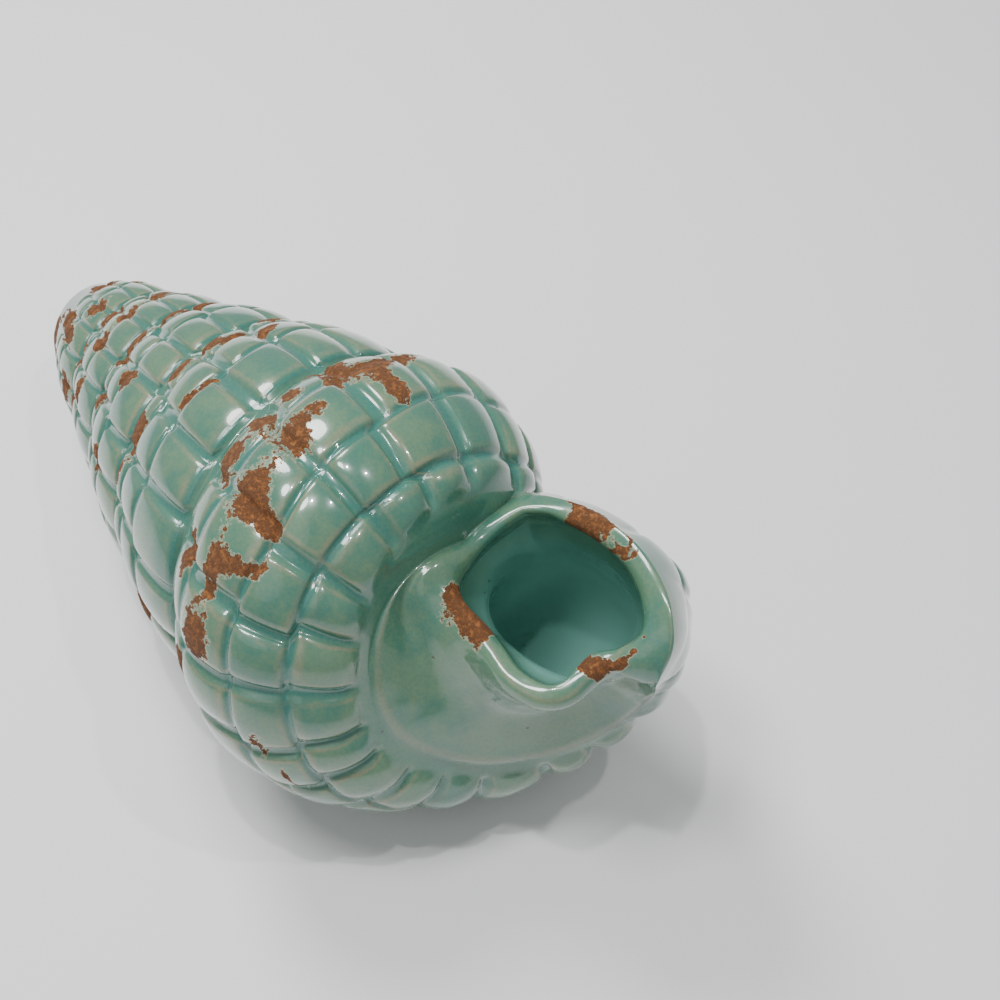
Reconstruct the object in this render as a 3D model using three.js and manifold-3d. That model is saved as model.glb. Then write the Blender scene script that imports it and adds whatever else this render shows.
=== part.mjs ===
// Ribbed spiral shell ornament, slip-cast and fired in one piece.
// Millimetres, +Z up.  The shell rests on its last whorl and spire, apex towards -X, mouth up
// and towards +X.  It is first built about its own coiling axis (apex up), then laid down.
import * as THREE from 'three';
import Module from 'manifold-3d';
import * as BufferGeometryUtils from 'three/addons/utils/BufferGeometryUtils.js';

// ---- driving dimensions -------------------------------------------------------------------
const RIBS_PER_TURN = 18;
const COLUMNS_PER_TURN = 54;
const TURNS = 5.5926;
const START_ANGLE = -2.5 * Math.PI / 180;
const RIB_HEIGHT = 1.3;
const GROOVE_DEPTH = 1;
const BASIN_DEPTH = 6.2;
const REST_FLAT = 0.9;

// The suture (upper edge of each whorl) by turn, turn 0 being the lip: distance from the
// virtual apex along the axis, and distance from the axis.
const TURN = [-6, -5.5, -5, -4, -3, -2, -1.5, -1, -0.7, -0.4, -0.2, 0];
const SUTURE_DROP = [-22, -17, -6, 21, 51, 86, 107, 132, 148, 162, 177, 198.5];
const SUTURE_RADIUS = [3, 15, 20, 27.5, 36.5, 46.5, 52, 57.5, 59, 55.5, 53, 48.2];
const WHORL_TURN = [-1, -0.7, -0.45, -0.25, -0.1, 0];
const WHORL_SIZE = [106, 108, 111, 119, 111, 102];
// The last whorl swells out above the basin before it draws in to the lip.
const SWELL_TURN = [-1, -0.55, -0.45, -0.36, -0.3, -0.24, -0.18, -0.12, -0.05, 0];
const SWELL_OUT = [0, 0, 3, 8.5, 10, 9, 7, 6, 3.5, 0];

// Whorl section, from the suture (0) to the edge of the basin (1), as shares of the whorl
// size: [along the axis, away from the axis].
const STEP = [0, 0.12, 0.3, 0.45, 0.6, 0.8, 1];
const WHORL_DOWN = [0, 0.14, 0.29, 0.4, 0.49, 0.555, 0.56];
const WHORL_OUT = [0, 0.07, 0.08, 0.045, -0.03, -0.132, -0.242];
const LIP_DOWN = [0, 0.1, 0.25, 0.42, 0.57, 0.68, 0.71];
const LIP_OUT = [0, 0.045, 0.082, 0.083, 0.038, -0.058, -0.2];
const SPIRE_REACH = 0.62;
const LIP_REACH = 0.72;

// Spiral bands: cord, upper band, middle band, lower band; a groove lies between each two.
const GROOVES = [0.12, 0.3, 0.6];
const BODY_GROOVES = [0.14, 0.4, 0.59];
const SKIN_ROWS = 6;
const BASE_ROWS = [0.8, 0.88, 0.94, 1];

// Edge of the opening, from where the lip leaves the body, down the inner side, round the
// notch and back up the outer lip: [share of the way, x, y, distance down the axis].
const OPENING = [
  [0, 43.5, -2.5, 206], [0.05, 36, -6, 204.5], [0.1, 29, -9, 204],
  [0.145, 23, -11.5, 205], [0.2, 17.5, -14.5, 208.5], [0.27, 14.3, -15.3, 215],
  [0.34, 14, -14, 223.5], [0.41, 12.3, -13, 232], [0.48, 10.3, -12.5, 241.5],
  [0.535, 11.5, -11, 249.5], [0.58, 14.5, -9, 252], [0.62, 19.3, -7, 252],
  [0.67, 25.5, -4, 252], [0.72, 31, -1, 256], [0.765, 37.5, 2, 258],
  [0.81, 44, 4.5, 253], [0.86, 50.5, 6, 242], [0.91, 52.7, 5, 228.5],
  [0.955, 50, 2, 215], [1, 43.5, -2.5, 205.5],
];
// Rows across the basin, then over the rolled fold: [share of that stretch, is it the fold].
const LIP_STEPS = [
  [0.08, false], [0.2, false], [0.4, false], [0.6, false], [0.8, false], [1, false],
  [0.16, true], [0.33, true], [0.5, true], [0.67, true], [0.84, true], [1, true],
];
const RISE_SMOOTHING = 10;
// The rolled fold is widest round the notch: how wide and how high it is, by share of the way.
const ROLL_WAY = [0, 0.145, 0.3, 0.42, 0.55, 0.66, 0.75, 1];
const LIP_ROLL = [9, 11, 11, 13, 15, 13, 11, 9];
const LIP_RISE = [4, 4, 4, 4.6, 5.4, 5, 4, 4];
const MOUTH_FACING = new THREE.Vector3(0.33, -0.82, -0.46).normalize();

// Hollow behind the opening: [turn, centre radius, centre drop, half width, half height].
const HOLLOW = [
  [-0.05, 31, 229, 20, 28], [-0.1, 34, 224, 21, 28], [-0.17, 36.5, 217, 22, 27],
  [-0.25, 37.5, 209, 22.5, 26], [-0.33, 37.5, 202, 21.5, 24], [-0.42, 37, 195, 19.5, 22],
  [-0.5, 36.5, 189, 17, 18], [-0.57, 36.5, 184, 12, 12],
];
const HOLLOW_WAY = [0, 0.145, 0.3, 0.48, 0.6, 0.72, 0.86, 1];
const HOLLOW_TURN = [60, 130, 175, 215, 250, 290, 360, 420];

// Resting pose: which way is up, in the upright shell's own frame.
const REST_UP = new THREE.Vector3(0.57, -0.8, -0.194).normalize();

// ---- curves -------------------------------------------------------------------------------
function ease(t) {
  const u = Math.min(Math.max(t, 0), 1);
  return u * u * (3 - 2 * u);
}

function slopes(xs, ys) {
  const last = xs.length - 1;
  return xs.map((x, i) => {
    if (i === 0) return (ys[1] - ys[0]) / (xs[1] - xs[0]);
    if (i === last) return (ys[last] - ys[last - 1]) / (xs[last] - xs[last - 1]);
    const before = x - xs[i - 1];
    const after = xs[i + 1] - x;
    const rise = (ys[i] - ys[i - 1]) / before;
    const next = (ys[i + 1] - ys[i]) / after;
    return (rise * after + next * before) / (before + after);
  });
}

// A smooth curve through the stations (xs, ys).
function through(xs, ys) {
  const m = slopes(xs, ys);
  return (x) => {
    let i = xs.length - 2;
    while (i > 0 && x < xs[i]) i -= 1;
    const h = xs[i + 1] - xs[i];
    const t = (x - xs[i]) / h;
    const t2 = t * t;
    const t3 = t2 * t;
    const start = (2 * t3 - 3 * t2 + 1) * ys[i] + (t3 - 2 * t2 + t) * h * m[i];
    return start + (3 * t2 - 2 * t3) * ys[i + 1] + (t3 - t2) * h * m[i + 1];
  };
}

const sutureDrop = through(TURN, SUTURE_DROP);
const sutureRadius = through(TURN, SUTURE_RADIUS);
const whorlSize = through(WHORL_TURN, WHORL_SIZE);
const swellAt = through(SWELL_TURN, SWELL_OUT);
const whorlDown = through(STEP, WHORL_DOWN);
const whorlOut = through(STEP, WHORL_OUT);
const lipDown = through(STEP, LIP_DOWN);
const lipOut = through(STEP, LIP_OUT);
const chordBulge = through([0, 0.06, 0.2, 0.45, 0.7, 0.9, 1], [0, 0.035, 0.06, 0.085, 0.075, 0.04, 0]);

// ---- the coiled skin ----------------------------------------------------------------------
// How far down its section a whorl shows before the next whorl covers it.
function reach(turn) {
  return SPIRE_REACH + (LIP_REACH - SPIRE_REACH) * ease((turn + 1.5) / 0.5);
}

function bodySection(turn, v) {
  const size = whorlSize(Math.max(turn, -1));
  const lip = ease((turn + 0.4) / 0.4);
  const down = whorlDown(v) + (lipDown(v) - whorlDown(v)) * lip;
  const out = whorlOut(v) + (lipOut(v) - whorlOut(v)) * lip;
  const below = ease((v - 0.2) / 0.5);
  const drawnIn = 1 - 0.9 * ease((turn + 0.22) / 0.12) * ease((v - 0.5) / 0.2);
  const belly = swellAt(Math.max(turn, -1)) * below * drawnIn;
  const sag = 8 * (1 - ease((turn + 1) / 0.25)) * ease((v - 0.3) / 0.4);
  return [sutureDrop(turn) + size * down + sag, sutureRadius(turn) + size * out + belly];
}

function spireSection(turn, v) {
  const full = reach(turn);
  const u = v / full;
  const drop = sutureDrop(turn);
  const radius = sutureRadius(turn);
  const along = sutureDrop(turn + 1) - drop;
  const away = sutureRadius(turn + 1) - radius;
  const p = u + 0.06 * u * (1 - u);
  const q = chordBulge(u);
  const onSpire = [drop + p * along - q * away, radius + p * away + q * along];
  const atBody = bodySection(turn, v);
  const end = bodySection(turn, full);
  const w = ease((turn + 1.55) / 0.5);
  return [0, 1].map((k) => {
    const target = k === 0 ? drop + along : radius + away;
    const fitted = atBody[k] + (target - end[k]) * u;
    return onSpire[k] + (fitted - onSpire[k]) * w;
  });
}

function place(radius, angle, drop) {
  return new THREE.Vector3(radius * Math.cos(angle), radius * Math.sin(angle), -drop);
}

function skinPoint(turn, v) {
  const section = turn >= -1 ? bodySection(turn, v) : spireSection(turn, v);
  return place(Math.max(section[1], 0.5), START_ANGLE - 2 * Math.PI * turn, section[0]);
}

function skinNormal(turn, v) {
  const e = 0.004;
  const t0 = Math.max(turn - e, -TURNS);
  const t1 = Math.min(turn + e, 0);
  const v0 = Math.max(v - e, 0);
  const v1 = Math.min(v + e, turn >= -1 ? 1 : reach(turn));
  const along = skinPoint(t1, v).sub(skinPoint(t0, v));
  const down = skinPoint(turn, v1).sub(skinPoint(turn, v0));
  return along.cross(down).normalize();
}

// Ribs stand proud and the spiral grooves cut them into tiles; both fade at the apex, at the
// suture and at the rim of the mouth.
function relief(turn, v, column) {
  const trough = column % (COLUMNS_PER_TURN / RIBS_PER_TURN) === 0;
  const size = 0.45 + 0.55 * ease((turn + 5) / 4);
  const edge = ease(v / 0.05);
  const rim = ease(-turn / 0.05);
  const end = 0.7 + 0.23 * ease((turn + 1) / 0.35);
  const foot = turn >= -1 ? ease((end - v) / 0.06) : 1;
  const groove = groovesAt(turn).some((g) => Math.abs(v - g) < 0.02);
  const rise = (trough ? -0.4 : 1) * RIB_HEIGHT - (groove && !trough ? GROOVE_DEPTH : 0);
  return rise * size * edge * rim * foot;
}

// The grooves lie further apart on the last whorl.
function groovesAt(turn) {
  const last = ease((turn + 1.4) / 0.5);
  return GROOVES.map((g, k) => g + (BODY_GROOVES[k] - g) * last);
}

function rowsAt(turn) {
  const full = reach(Math.min(turn, -1));
  const [first, second, third] = groovesAt(turn);
  const rows = [0, first / 2, first, second, (second + third) / 2, Math.min(third, 0.94 * full)];
  return [...rows, full, ...(turn >= -1 ? BASE_ROWS : [])];
}

// Below the suture the first column of the last whorl leans forward, clear of the opening, and
// the last one leans back, which rounds the corner between the lip and the basin.
function lean(turn, v) {
  if (turn < -1) return turn;
  const first = 0.07 * ease((v - LIP_REACH) / (1 - LIP_REACH)) * (1 - ease((turn + 1) / 0.3));
  return turn + first - 0.04 * ease((v - 0.72) / 0.34) * ease((turn + 0.14) / 0.14);
}

class Skin {
  constructor() {
    this.points = [];
    this.faces = [];
  }

  add(point) {
    this.points.push(point);
    return this.points.length - 1;
  }

  quad(a, b, c, d) {
    this.faces.push(a, c, b, a, d, c);
  }

  // Joins two closed rings with the same number of points.
  band(from, to) {
    from.forEach((p, k) => {
      const next = (k + 1) % from.length;
      this.quad(p, from[next], to[next], to[k]);
    });
  }

  fan(ring, tip) {
    ring.forEach((p, k) => this.faces.push(p, tip, ring[(k + 1) % ring.length]));
  }
}

function coil(skin) {
  const columns = Math.round(COLUMNS_PER_TURN * TURNS);
  const grid = [];
  const covered = SKIN_ROWS;
  for (let i = 0; i <= columns; i += 1) {
    const turn = (i - columns) / COLUMNS_PER_TURN;
    const rows = rowsAt(turn);
    grid.push(rows.map((v, j) => {
      if (j === 0 && i >= COLUMNS_PER_TURN) return grid[i - COLUMNS_PER_TURN][covered];
      const at = lean(turn, v);
      const out = skinNormal(at, v).multiplyScalar(relief(at, v, columns - i));
      const whole = v > reach(Math.min(turn, -1)) - 1e-6 && turn < -1;
      return skin.add(whole ? skinPoint(at, v) : skinPoint(at, v).add(out));
    }));
  }
  for (let i = 0; i < columns; i += 1) {
    const count = Math.min(grid[i].length, grid[i + 1].length);
    for (let j = 0; j + 1 < count; j += 1) {
      skin.quad(grid[i][j], grid[i][j + 1], grid[i + 1][j + 1], grid[i + 1][j]);
    }
  }
  return grid;
}

// ---- the blunt dome at the apex -------------------------------------------------------------
function apexDome(skin, grid) {
  const upper = grid.slice(0, COLUMNS_PER_TURN).map((column) => column[0]);
  const side = grid[0].slice(1, SKIN_ROWS + 1).reverse();
  let ring = [...upper, ...side];
  const height = Math.max(...ring.map((k) => skin.points[k].z)) + 3;
  const start = ring.map((k) => skin.points[k]);
  for (const share of [0.75, 0.5, 0.25]) {
    const rise = Math.sqrt(1 - share * share);
    const next = start.map((p) => {
      return skin.add(new THREE.Vector3(p.x * share, p.y * share, p.z + (height - p.z) * rise));
    });
    skin.band(ring, next);
    ring = next;
  }
  skin.fan(ring, skin.add(new THREE.Vector3(0, 0, height)));
}

// ---- basin, rolled lip and hollow -------------------------------------------------------------
function mouthEdge(grid) {
  const last = grid.length - 1;
  const first = last - COLUMNS_PER_TURN;
  const covered = SKIN_ROWS;
  const bottom = grid[last].length - 1;
  const inner = grid[first].slice(covered);
  const innerWay = inner.map((k, n) => 0.145 * n / (inner.length - 1));
  const round = grid.slice(first + 1).map((column) => column[bottom]);
  const roundWay = round.map((k, n) => 0.145 + 0.575 * (n + 1) / round.length);
  const outer = grid[last].slice(1, bottom).reverse();
  const outerWay = rowsAt(0).slice(1, bottom).reverse().map((v) => 0.72 + 0.28 * (1 - v));
  return { ring: [...inner, ...round, ...outer], way: [...innerWay, ...roundWay, ...outerWay] };
}

const rollAt = through(ROLL_WAY, LIP_ROLL);
const riseAt = through(ROLL_WAY, LIP_RISE);
const openingAt = [1, 2, 3].map((k) => through(OPENING.map((p) => p[0]), OPENING.map((p) => p[k])));

function openingPoint(way) {
  return new THREE.Vector3(openingAt[0](way), openingAt[1](way), -openingAt[2](way));
}

// Rows from the ribbed skin to the opening, as [share of the way across, rise off the surface]:
// a plain rounded rim where the two lie close, a dished basin and a rolled fold where they don't.
function lipRows(gap, way) {
  const roll = Math.min(rollAt(way), 0.9 * gap) / gap;
  const basin = ease((gap - 12) / 14);
  const lift = riseAt(way);
  const height = Math.min(lift, 0.45 * gap);
  return LIP_STEPS.map(([q, folded]) => {
    const turned = folded ? q : 0;
    const dish = folded ? 0 : 1.6 * Math.sin(Math.PI * Math.min(q / 0.16, 1)) - BASIN_DEPTH * bowl(q);
    const wide = (folded ? 1 : q) * (1 - roll) + roll * Math.sin(Math.PI * turned / 2);
    const s = folded ? 0.3 + 0.7 * q : 0.3 * q;
    const plain = (1 - Math.cos(Math.PI * s)) / 2;
    const rise = basin * (dish + lift * Math.sin(Math.PI * turned));
    return [plain + (wide - plain) * basin, rise + (1 - basin) * height * Math.sin(Math.PI * s)];
  });
}

function bowl(q) {
  const dip = Math.PI * Math.max(q - 0.16, 0) / 0.84;
  return 0.5 * Math.sin(dip) + 0.25 * (1 - Math.cos(2 * dip));
}

// Averages each direction of a closed ring with its neighbours.
function smoothed(ring, passes) {
  let now = ring;
  for (let pass = 0; pass < passes; pass += 1) {
    now = now.map((d, k) => {
      const before = now[(k + now.length - 1) % now.length];
      return d.clone().multiplyScalar(2).add(before).add(now[(k + 1) % now.length]).normalize();
    });
  }
  return now;
}

function mouth(skin, grid) {
  const edge = mouthEdge(grid);
  const start = edge.ring.map((k) => skin.points[k]);
  const goal = edge.way.map(openingPoint);
  const rows = start.map((p, k) => lipRows(p.distanceTo(goal[k]), edge.way[k]));
  const rises = smoothed(start.map((p, k) => {
    const way = edge.way[k];
    const before = openingPoint((way + 0.99) % 1);
    const along = openingPoint((way + 0.01) % 1).sub(before).normalize();
    return along.cross(goal[k].clone().sub(p).normalize());
  }), RISE_SMOOTHING);
  let ring = edge.ring;
  for (let r = 0; r < LIP_STEPS.length; r += 1) {
    const next = start.map((p, k) => {
      const [across, rise] = rows[k][r];
      return skin.add(p.clone().lerp(goal[k], across).addScaledVector(rises[k], rise));
    });
    skin.band(next, ring);
    ring = next;
  }
  return { ring, goal, way: edge.way };
}

function hollow(skin, rim) {
  const turnAt = through(HOLLOW_WAY, HOLLOW_TURN);
  let ring = rim.ring;
  HOLLOW.forEach(([turn, centre, drop, wide, high], n) => {
    const angle = START_ANGLE - 2 * Math.PI * turn;
    const hold = [0.55, 0.2][n] ?? 0;
    const depth = [9, 20][n] ?? 0;
    const next = rim.way.map((way, k) => {
      const a = turnAt(way) * Math.PI / 180;
      const p = place(centre + wide * Math.cos(a), angle, drop - high * Math.sin(a));
      const straight = rim.goal[k].clone().addScaledVector(MOUTH_FACING, -depth);
      return skin.add(p.lerp(straight, hold));
    });
    skin.band(next, ring);
    ring = next;
  });
  const middle = ring.reduce((sum, k) => sum.add(skin.points[k]), new THREE.Vector3());
  const end = middle.divideScalar(ring.length).add(new THREE.Vector3(0, 0, 4));
  skin.fan([...ring].reverse(), skin.add(end));
}

// ---- laying the shell down ------------------------------------------------------------------
function layDown(points) {
  const towardsBase = new THREE.Vector3(0, 0, -1);
  const x = towardsBase.addScaledVector(REST_UP, -towardsBase.dot(REST_UP)).normalize();
  const y = REST_UP.clone().cross(x);
  const turned = points.map((p) => new THREE.Vector3(p.dot(x), p.dot(y), p.dot(REST_UP)));
  const box = new THREE.Box3().setFromPoints(turned);
  const middle = box.getCenter(new THREE.Vector3());
  const floor = box.min.z + REST_FLAT;
  return turned.map((p) => new THREE.Vector3(p.x - middle.x, p.y - middle.y, p.z - floor));
}

async function shellSolid() {
  const skin = new Skin();
  const grid = coil(skin);
  apexDome(skin, grid);
  hollow(skin, mouth(skin, grid));
  const wasm = await Module();
  wasm.setup();
  const laid = layDown(skin.points);
  const vertProperties = new Float32Array(laid.flatMap((p) => [p.x, p.y, p.z]));
  const triVerts = new Uint32Array(skin.faces);
  const body = new wasm.Manifold(new wasm.Mesh({ numProp: 3, vertProperties, triVerts }));
  // Ground flat where it rests.
  const rested = body.trimByPlane([0, 0, 1], 0);
  return rested.getMesh();
}

function toGeometry(mesh) {
  const geometry = new THREE.BufferGeometry();
  geometry.setAttribute('position', new THREE.BufferAttribute(mesh.vertProperties, 3));
  geometry.setIndex(new THREE.BufferAttribute(mesh.triVerts, 1));
  return BufferGeometryUtils.mergeVertices(geometry, 1e-4);
}

const glaze = new THREE.MeshStandardMaterial({ color: 0x86b8a4, roughness: 0.12, metalness: 0 });
const shell = new THREE.Mesh(toGeometry(await shellSolid()), glaze);
shell.name = 'shell';

const part = new THREE.Group();
part.name = 'ribbed_spiral_shell';
part.add(shell);
export default part;
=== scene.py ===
import math

import bpy
import numpy as np
from mathutils import Matrix, Vector


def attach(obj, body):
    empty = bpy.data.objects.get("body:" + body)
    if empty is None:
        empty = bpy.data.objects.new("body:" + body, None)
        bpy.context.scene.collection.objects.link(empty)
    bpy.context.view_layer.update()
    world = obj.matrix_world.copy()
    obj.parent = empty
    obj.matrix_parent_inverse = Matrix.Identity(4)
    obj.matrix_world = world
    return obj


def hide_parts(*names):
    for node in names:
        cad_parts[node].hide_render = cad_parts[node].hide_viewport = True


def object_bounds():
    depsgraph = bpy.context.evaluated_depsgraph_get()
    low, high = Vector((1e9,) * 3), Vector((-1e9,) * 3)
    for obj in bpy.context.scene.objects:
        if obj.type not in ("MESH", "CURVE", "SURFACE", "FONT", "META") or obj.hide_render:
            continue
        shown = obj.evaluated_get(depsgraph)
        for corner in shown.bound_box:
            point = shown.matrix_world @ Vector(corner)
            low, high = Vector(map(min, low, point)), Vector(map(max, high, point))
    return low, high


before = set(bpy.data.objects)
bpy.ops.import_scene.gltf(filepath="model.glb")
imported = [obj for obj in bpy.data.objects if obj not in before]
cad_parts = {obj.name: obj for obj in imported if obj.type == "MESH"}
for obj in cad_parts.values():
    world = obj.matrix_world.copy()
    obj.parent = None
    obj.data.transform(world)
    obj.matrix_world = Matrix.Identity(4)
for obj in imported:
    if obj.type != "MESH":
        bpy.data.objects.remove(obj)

# A glazed ribbed spiral shell, cast in one piece, lying on its last whorl.  Its surface is worked
# out in millimetres about the coiling axis (apex up), laid down, and placed in the frame's box.
CAD_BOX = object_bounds()
MM = 0.001

# ---- the coil: where each whorl's upper edge runs, turn 0 being the lip ----------------------
TURNS = 5.6
START_ANGLE = math.radians(-2.5)
TURN = [-6, -5.5, -5, -4, -3, -2, -1.5, -1, -0.7, -0.4, -0.2, 0]
SUTURE_DROP = [-22, -17, -6, 21, 51, 86, 107, 132, 148, 162, 177, 198.5]
SUTURE_RADIUS = [3, 15, 20, 27.5, 36.5, 46.5, 52, 57.5, 59, 55.5, 53, 48.2]
WHORL_TURN = [-1, -0.7, -0.45, -0.25, -0.1, 0]
WHORL_SIZE = [106, 108, 111, 119, 111, 102]
# The last whorl swells out above the basin before it draws in to the lip.
SWELL_TURN = [-1, -0.55, -0.45, -0.36, -0.3, -0.24, -0.18, -0.12, -0.05, 0]
SWELL_OUT = [0, 0, 3, 8.5, 10, 9, 7, 6, 3.5, 0]

# Whorl section from its upper edge to the basin, as shares of the whorl's size.
STEP = [0, 0.12, 0.3, 0.45, 0.6, 0.8, 1]
WHORL_DOWN = [0, 0.14, 0.29, 0.4, 0.49, 0.555, 0.56]
WHORL_OUT = [0, 0.07, 0.08, 0.045, -0.03, -0.132, -0.242]
LIP_DOWN = [0, 0.1, 0.25, 0.42, 0.57, 0.68, 0.71]
LIP_OUT = [0, 0.045, 0.082, 0.083, 0.038, -0.058, -0.2]
SPIRE_REACH = 0.62
LIP_REACH = 0.72

# ---- the carving: ribs across the whorl, spiral grooves along it ------------------------------
RIB_TURN = [-5.6, -1.78, -0.74, 0]
RIB_COUNT = [-100.8, -32, -13.5, 0]
COLUMNS_PER_TURN = 300
RIBS_ROUND = 18
RIB_SHARE = [0, 0.14, 0.32, 0.5, 0.68, 0.86, 1]
RIB_PLACE = [0, 0.06, 0.15, 0.5, 0.85, 0.94, 1]
RIB_HEIGHT = 1.05
TROUGH_HALF = 0.055
RIB_EDGE = 0.085
GROOVES = [0.12, 0.3, 0.6]
BODY_GROOVES = [0.14, 0.4, 0.59]
GROOVE_WIDTHS = [0.010, 0.013, 0.02]
GROOVE_DEPTHS = [0.6, 0.9, 1.2]
BAND_SWELL = 0.45
BAND_SHIFT = [0.1, 0, -0.08, 0.05]
WANDER = 0.08
GROOVE_WANDER = 0.011
TILE_SCATTER = [12.9898, 78.233]
SUTURE_DENT = 1.1
SUTURE_EDGE = 0.03
BANDS = [0, 0.025, 0.05, 0.075, 0.095, 0.107, 0.114, 0.12, 0.126, 0.133, 0.145, 0.165, 0.19, 0.22,
         0.25, 0.272, 0.284, 0.292, 0.3, 0.308, 0.316, 0.328, 0.35, 0.38, 0.42, 0.46, 0.5, 0.535,
         0.56, 0.575]
TAIL = [0.1, 0.18, 0.26, 0.36, 0.52, 0.76, 1]
BASE = [0.74, 0.765, 0.79, 0.82, 0.85, 0.875, 0.9, 0.92, 0.94, 0.96, 0.98, 1]

# ---- the mouth: edge of the opening as [share of the way, x, y, distance down the axis] -------
OPENING = [
    [0, 43.5, -2.5, 206], [0.05, 36, -6, 204.5], [0.1, 29, -9, 204], [0.145, 23, -11.5, 205],
    [0.2, 17.5, -14.5, 208.5], [0.27, 14.3, -15.3, 215], [0.34, 14, -14, 223.5], [0.41, 12.3, -13, 232],
    [0.48, 10.3, -12.5, 241.5], [0.535, 11.5, -11, 249.5], [0.58, 14.5, -9, 252], [0.62, 19.3, -7, 252],
    [0.67, 25.5, -4, 252], [0.72, 31, -1, 256], [0.765, 37.5, 2, 258], [0.81, 44, 4.5, 253],
    [0.86, 50.5, 6, 242], [0.91, 52.7, 5, 228.5], [0.955, 50, 2, 215], [1, 43.5, -2.5, 205.5],
]
MOUTH_FACING = np.array([0.33, -0.82, -0.46])
ROLL_WAY = [0, 0.145, 0.3, 0.42, 0.55, 0.66, 0.75, 1]
LIP_ROLL = [9, 11, 11, 13, 15, 13, 11, 9]
LIP_RISE = [4, 4, 4, 4.6, 5.4, 5, 4, 4]
BASIN_DEPTH = 6.2
FOLD_STEPS = 14
BASIN_STEPS = 14
LIP_EDGE_ROW = 2.86
BASIN_EDGE_ROW = 2.05
HOLLOW = [
    [-0.05, 31, 229, 20, 28], [-0.1, 34, 224, 21, 28], [-0.17, 36.5, 217, 22, 27],
    [-0.25, 37.5, 209, 22.5, 26], [-0.33, 37.5, 202, 21.5, 24], [-0.42, 37, 195, 19.5, 22],
    [-0.5, 36.5, 189, 17, 18], [-0.57, 36.5, 184, 12, 12],
]
HOLLOW_RINGS = 22
HOLLOW_WAY = [0, 0.145, 0.3, 0.48, 0.6, 0.72, 0.86, 1]
HOLLOW_ANGLE = [60, 130, 175, 215, 250, 290, 360, 420]

# ---- where the glaze has chipped to the rusty slip: [turns back from the lip, band, half length
# in turns, half width in bands] on the whorls, and [way round, across, ...] at the mouth --------
WORN_WHORLS = [
    [0.82, 0.06, 0.011, 0.05], [0.825, 0.2, 0.012, 0.05], [0.848, 0.07, 0.008, 0.03],
    [0.848, 0.18, 0.012, 0.022], [0.885, 0.05, 0.018, 0.035], [0.905, 0.14, 0.02, 0.04],
    [0.875, 0.13, 0.007, 0.03], [0.905, 0.25, 0.008, 0.05], [0.784, 0.07, 0.017, 0.028],
    [0.785, 0.19, 0.022, 0.05], [0.77, 0.26, 0.007, 0.08], [0.722, 0.09, 0.02, 0.022],
    [0.723, 0.2, 0.02, 0.03], [0.737, 0.25, 0.006, 0.05], [0.745, 0.33, 0.006, 0.035],
    [0.675, 0.2, 0.019, 0.05], [0.6, 0.4, 0.02, 0.03], [0.56, 0.45, 0.02, 0.02],
    [0.45, 0.62, 0.02, 0.02], [0.63, 0.1, 0.02, 0.03], [0.945, 0.12, 0.02, 0.03],
    [1.74, 0.06, 0.018, 0.06], [1.753, 0.02, 0.012, 0.05], [1.795, 0.3, 0.009, 0.03],
    [1.82, 0.31, 0.01, 0.02], [1.815, 0.05, 0.013, 0.05], [1.853, 0.05, 0.012, 0.05],
    [1.875, 0.12, 0.01, 0.03], [1.9, 0.2, 0.012, 0.03], [1.93, 0.07, 0.02, 0.03],
    [1.7, 0.05, 0.014, 0.03], [2.79, 0.04, 0.018, 0.09], [2.815, 0.02, 0.012, 0.07],
    [2.73, 0.05, 0.014, 0.07], [2.86, 0.06, 0.018, 0.04], [2.915, 0.1, 0.02, 0.04],
    [3.84, 0.3, 0.016, 0.05], [3.78, 0.28, 0.014, 0.07], [3.7, 0.3, 0.02, 0.06],
    [3.91, 0.22, 0.02, 0.06], [4.88, 0.03, 0.03, 0.12], [4.76, 0.08, 0.02, 0.1],
    [4.74, 0.3, 0.014, 0.08], [4.95, 0.2, 0.02, 0.06], [1.35, 0.08, 0.02, 0.05],
    [1.22, 0.2, 0.02, 0.05], [0.3, 0.12, 0.02, 0.05], [0.22, 0.25, 0.02, 0.04],
    [2.35, 0.08, 0.02, 0.07], [2.2, 0.3, 0.02, 0.05], [3.3, 0.1, 0.03, 0.08], [1.05, 0.1, 0.02, 0.04],
    [0, 0.2, 0.01, 0.045], [0, 0.26, 0.01, 0.04], [0, 0.34, 0.005, 0.03],
    [1.11, 0.03, 0.015, 0.05], [1.49, 0.06, 0.02, 0.05], [1.6, 0.25, 0.02, 0.05], [2.05, 0.08, 0.02, 0.05],
    [2.55, 0.1, 0.02, 0.05], [2.68, 0.28, 0.015, 0.06], [2.77, 0.32, 0.012, 0.05], [2.96, 0.05, 0.02, 0.06],
    [3.65, 0.08, 0.02, 0.07], [3.74, 0.04, 0.02, 0.06], [3.82, 0.06, 0.02, 0.07], [4.6, 0.2, 0.03, 0.08],
    [4.66, 0.45, 0.02, 0.06], [4.82, 0.42, 0.02, 0.06],
]
# The patches on the whorls grow towards the apex, where a turn is shorter.
WEAR_GROWTH = 0.12
WORN_MOUTH = [
    [0.25, 0.85, 0.03, 0.19], [0.285, 0.86, 0.035, 0.17], [0.33, 0.91, 0.035, 0.12],
    [0.365, 0.93, 0.028, 0.09], [0.635, 0.93, 0.018, 0.12], [0.655, 0.88, 0.02, 0.15],
    [0.68, 0.84, 0.018, 0.13], [0.7, 0.76, 0.014, 0.1], [0.725, 0.66, 0.008, 0.1],
    [0.755, 0.6, 0.006, 0.1], [0.8, 0.5, 0.005, 0.12], [0.945, 0.2, 0.014, 0.6],
    [0.925, 0.25, 0.014, 0.6], [0.9, 0.25, 0.008, 0.5], [0.88, 0.2, 0.005, 0.3],
]

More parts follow.
